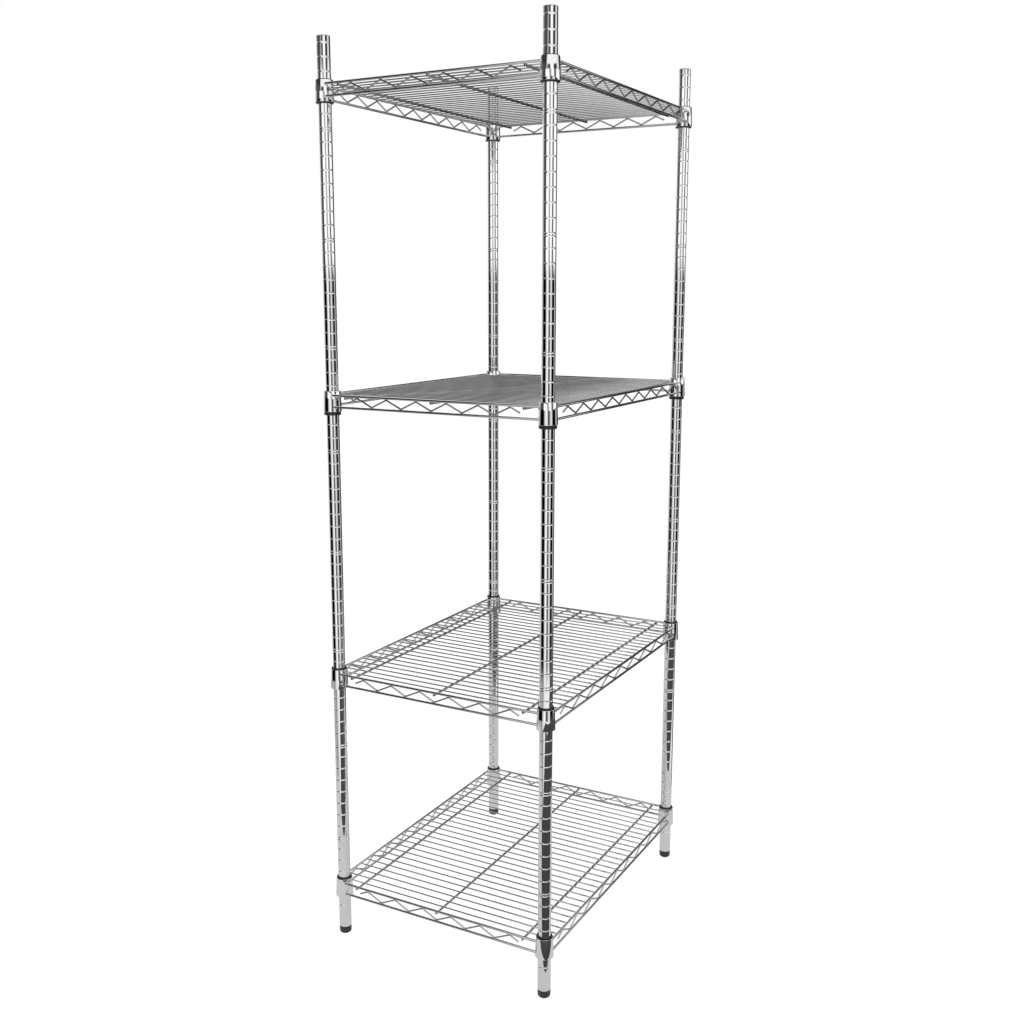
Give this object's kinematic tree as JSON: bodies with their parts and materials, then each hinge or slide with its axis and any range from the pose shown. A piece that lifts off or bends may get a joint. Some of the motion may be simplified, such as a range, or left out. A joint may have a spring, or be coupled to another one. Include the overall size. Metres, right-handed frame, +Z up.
{
  "type": "chrome shelving unit",
  "caption": "Free-standing chrome wire shelving unit: welded wire shelves on grooved round posts, held at any groove by tapered split sleeves, on screw-in levelling feet.",
  "frame": {"origin": "on the floor, under the middle of the unit", "axes": "+Z up along the posts, +X along the long side of the shelves, +Y from the front long side to the back one"},
  "size_m": [0.6762, 0.5082, 1.8058],
  "materials": {
    "posts": "bright chrome plate on rolled tube",
    "collars": "bright chrome plate",
    "wires": "bright chrome plate on drawn wire",
    "sleeves": "black moulded plastic, fine satin",
    "caps": "dark grey moulded plastic",
    "inserts": "bright zinc plate",
    "studs": "bright zinc plate",
    "feet": "dark grey moulded plastic, satin"
  },
  "bodies": {
    "post_frame": {"post_front_left": "posts", "post_cap_front_left": "caps", "foot_insert_front_left": "inserts", "post_front_right": "posts", "post_cap_front_right": "caps", "foot_insert_front_right": "inserts", "post_back_left": "posts", "post_cap_back_left": "caps", "foot_insert_back_left": "inserts", "post_back_right": "posts", "post_cap_back_right": "caps", "foot_insert_back_right": "inserts", "top_shelf_inner_sleeves": "sleeves", "top_shelf_outer_sleeves": "sleeves", "upper_shelf_inner_sleeves": "sleeves", "upper_shelf_outer_sleeves": "sleeves", "lower_shelf_inner_sleeves": "sleeves", "lower_shelf_outer_sleeves": "sleeves", "bottom_shelf_inner_sleeves": "sleeves", "bottom_shelf_outer_sleeves": "sleeves"},
    "top_shelf": {"top_shelf_collars": "collars", "top_shelf_top_wires": "wires", "top_shelf_bottom_wires": "wires", "top_shelf_long_zigzags": "wires", "top_shelf_short_zigzags": "wires", "top_shelf_mat_wires": "wires", "top_shelf_support_rods": "wires"},
    "upper_shelf": {"upper_shelf_collars": "collars", "upper_shelf_top_wires": "wires", "upper_shelf_bottom_wires": "wires", "upper_shelf_long_zigzags": "wires", "upper_shelf_short_zigzags": "wires", "upper_shelf_mat_wires": "wires", "upper_shelf_support_rods": "wires"},
    "lower_shelf": {"lower_shelf_collars": "collars", "lower_shelf_top_wires": "wires", "lower_shelf_bottom_wires": "wires", "lower_shelf_long_zigzags": "wires", "lower_shelf_short_zigzags": "wires", "lower_shelf_mat_wires": "wires", "lower_shelf_support_rods": "wires"},
    "bottom_shelf": {"bottom_shelf_collars": "collars", "bottom_shelf_top_wires": "wires", "bottom_shelf_bottom_wires": "wires", "bottom_shelf_long_zigzags": "wires", "bottom_shelf_short_zigzags": "wires", "bottom_shelf_mat_wires": "wires", "bottom_shelf_support_rods": "wires"},
    "foot_stud_front_left": {"foot_stud_front_left": "studs"},
    "foot_front_left": {"foot_base_front_left": "feet"},
    "foot_stud_front_right": {"foot_stud_front_right": "studs"},
    "foot_front_right": {"foot_base_front_right": "feet"},
    "foot_stud_back_left": {"foot_stud_back_left": "studs"},
    "foot_back_left": {"foot_base_back_left": "feet"},
    "foot_stud_back_right": {"foot_stud_back_right": "studs"},
    "foot_back_right": {"foot_base_back_right": "feet"}
  },
  "joints": [
    {"name": "top_shelf_lift", "type": "slide", "parent": "post_frame", "child": "top_shelf", "axis": [0, 0, 1], "range_m": [0, 0.1]},
    {"name": "upper_shelf_lift", "type": "slide", "parent": "post_frame", "child": "upper_shelf", "axis": [0, 0, 1], "range_m": [0, 0.536]},
    {"name": "lower_shelf_lift", "type": "slide", "parent": "post_frame", "child": "lower_shelf", "axis": [0, 0, 1], "range_m": [0, 0.517]},
    {"name": "bottom_shelf_lift", "type": "slide", "parent": "post_frame", "child": "bottom_shelf", "axis": [0, 0, 1], "range_m": [0, 0.415]},
    {"name": "foot_front_left_travel", "type": "slide", "parent": "post_frame", "child": "foot_stud_front_left", "axis": [0, 0, -1], "range_m": [0, 0.0125]},
    {"name": "foot_front_left_turn", "type": "hinge", "parent": "foot_stud_front_left", "child": "foot_front_left", "pos_m": [-0.32, -0.236, 0.015], "axis": [0, 0, 1], "range_deg": [0, 2700]},
    {"name": "foot_front_right_travel", "type": "slide", "parent": "post_frame", "child": "foot_stud_front_right", "axis": [0, 0, -1], "range_m": [0, 0.0125]},
    {"name": "foot_front_right_turn", "type": "hinge", "parent": "foot_stud_front_right", "child": "foot_front_right", "pos_m": [0.32, -0.236, 0.015], "axis": [0, 0, 1], "range_deg": [0, 2700]},
    {"name": "foot_back_left_travel", "type": "slide", "parent": "post_frame", "child": "foot_stud_back_left", "axis": [0, 0, -1], "range_m": [0, 0.0125]},
    {"name": "foot_back_left_turn", "type": "hinge", "parent": "foot_stud_back_left", "child": "foot_back_left", "pos_m": [-0.32, 0.236, 0.015], "axis": [0, 0, 1], "range_deg": [0, 2700]},
    {"name": "foot_back_right_travel", "type": "slide", "parent": "post_frame", "child": "foot_stud_back_right", "axis": [0, 0, -1], "range_m": [0, 0.0125]},
    {"name": "foot_back_right_turn", "type": "hinge", "parent": "foot_stud_back_right", "child": "foot_back_right", "pos_m": [0.32, 0.236, 0.015], "axis": [0, 0, 1], "range_deg": [0, 2700]}
  ],
  "couplings": [
    {"joint": "foot_front_left_travel", "follows": "foot_front_left_turn", "m_per_rad": 0.00025266},
    {"joint": "foot_front_right_travel", "follows": "foot_front_right_turn", "m_per_rad": 0.00025266},
    {"joint": "foot_back_left_travel", "follows": "foot_back_left_turn", "m_per_rad": 0.00025266},
    {"joint": "foot_back_right_travel", "follows": "foot_back_right_turn", "m_per_rad": 0.00025266}
  ]
}
